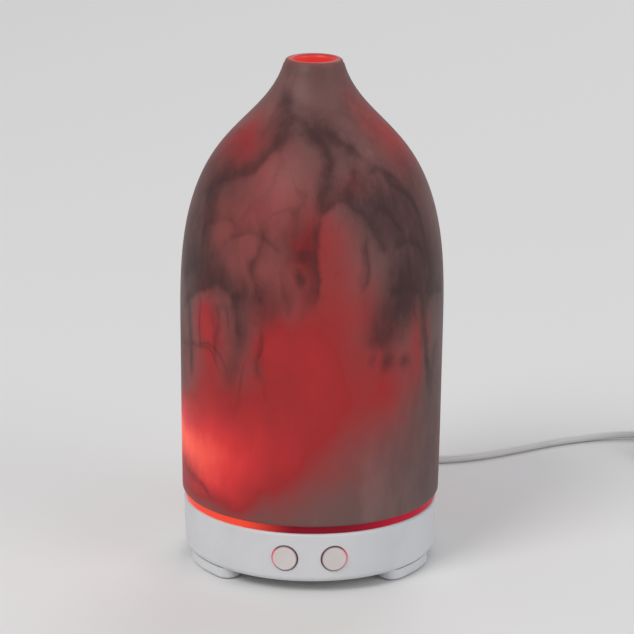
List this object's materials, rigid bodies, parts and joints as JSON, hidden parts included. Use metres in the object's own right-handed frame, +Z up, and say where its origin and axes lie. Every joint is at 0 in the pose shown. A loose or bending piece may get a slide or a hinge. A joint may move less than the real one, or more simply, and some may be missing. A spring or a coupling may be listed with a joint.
{
  "type": "essential oil diffuser",
  "caption": "Ultrasonic essential oil diffuser: lift-off marbled glass cover on a round white base with buttons, light ring, water tank, mist disc, fan and power lead.",
  "frame": {"origin": "on the table under the middle of the base", "axes": "+Z up through the mist outlet; the buttons face -Y and the power socket faces +Y"},
  "size_m": [0.2228, 0.1746, 0.175],
  "materials": {
    "marbled_glass": "opal glass with smoky veins, satin",
    "light_diffuser": "translucent, lit from behind",
    "base_white": "fine moulded texture",
    "tank_polypropylene": "translucent",
    "pad_rubber": "soft matt",
    "seal_silicone": "soft",
    "screw_steel": "zinc plated",
    "transducer_brass": "polished",
    "clamp_plastic": "moulded",
    "board_green": "solder mask",
    "led_lens": "clear dome",
    "component_black": "moulded",
    "capacitor_can": "sleeved can",
    "connector_ivory": "moulded",
    "fan_black": "moulded",
    "cord_white": "soft PVC",
    "tie_fabric": "hook-and-loop strap",
    "usb_metal": "nickel plated",
    "usb_insulator": "moulded",
    "wire_insulation": "soft"
  },
  "bodies": {
    "root": {"light_ring": "light_diffuser", "base_housing": "base_white", "bottom_cover": "base_white", "water_tank": "tank_polypropylene", "tower_cap": "tank_polypropylene", "air_duct": "tank_polypropylene", "foot_pads": "pad_rubber", "deck_gasket": "seal_silicone", "transducer_seal": "seal_silicone", "housing_screws": "screw_steel", "tank_screws": "screw_steel", "clamp_screws": "screw_steel", "led_screws": "screw_steel", "board_screws": "screw_steel", "transducer_disc": "transducer_brass", "clamp_plate": "clamp_plastic", "led_board": "board_green", "main_board": "board_green", "leds": "led_lens", "inductor": "component_black", "driver_chip": "component_black", "button_switches": "component_black", "dc_socket": "component_black", "capacitor": "capacitor_can", "board_connector": "connector_ivory", "fan_frame": "fan_black", "dc_plug": "cord_white", "plug_relief": "cord_white", "power_cord": "cord_white", "cord_coil": "cord_white", "cord_tail": "cord_white", "usb_relief": "cord_white", "usb_plug": "cord_white", "coil_tie": "tie_fabric", "usb_shell": "usb_metal", "usb_tongue": "usb_insulator", "disc_lead": "wire_insulation", "led_lead": "wire_insulation", "fan_lead": "wire_insulation", "socket_lead": "wire_insulation"},
    "glass_cover": {"glass_cover": "marbled_glass", "glass_shoulder": "marbled_glass"},
    "inner_cover": {"inner_cover": "tank_polypropylene"},
    "mist_button": {"mist_button": "base_white"},
    "light_button": {"light_button": "base_white"},
    "fan_rotor": {"fan_rotor": "fan_black"}
  },
  "joints": [
    {"name": "glass_cover_lift", "type": "slide", "parent": "root", "child": "glass_cover", "axis": [0, 0, 1], "range_m": [0, 0.14]},
    {"name": "inner_cover_lift", "type": "slide", "parent": "root", "child": "inner_cover", "axis": [0, 0, 1], "range_m": [0, 0.021]},
    {"name": "mist_button_press", "type": "slide", "parent": "root", "child": "mist_button", "axis": [0.1908, 0.9816, 0], "range_m": [0, 0.0005], "stiffness_N_per_m": 2000},
    {"name": "light_button_press", "type": "slide", "parent": "root", "child": "light_button", "axis": [-0.1908, 0.9816, 0], "range_m": [0, 0.0005], "stiffness_N_per_m": 2000},
    {"name": "fan_spin", "type": "hinge", "parent": "root", "child": "fan_rotor", "pos_m": [0, 0.0173, 0.0106], "axis": [0, 0, 1], "continuous": true}
  ],
  "couplings": [
    {"joint": "inner_cover_lift", "follows": "glass_cover_lift", "ratio": 0.15}
  ]
}
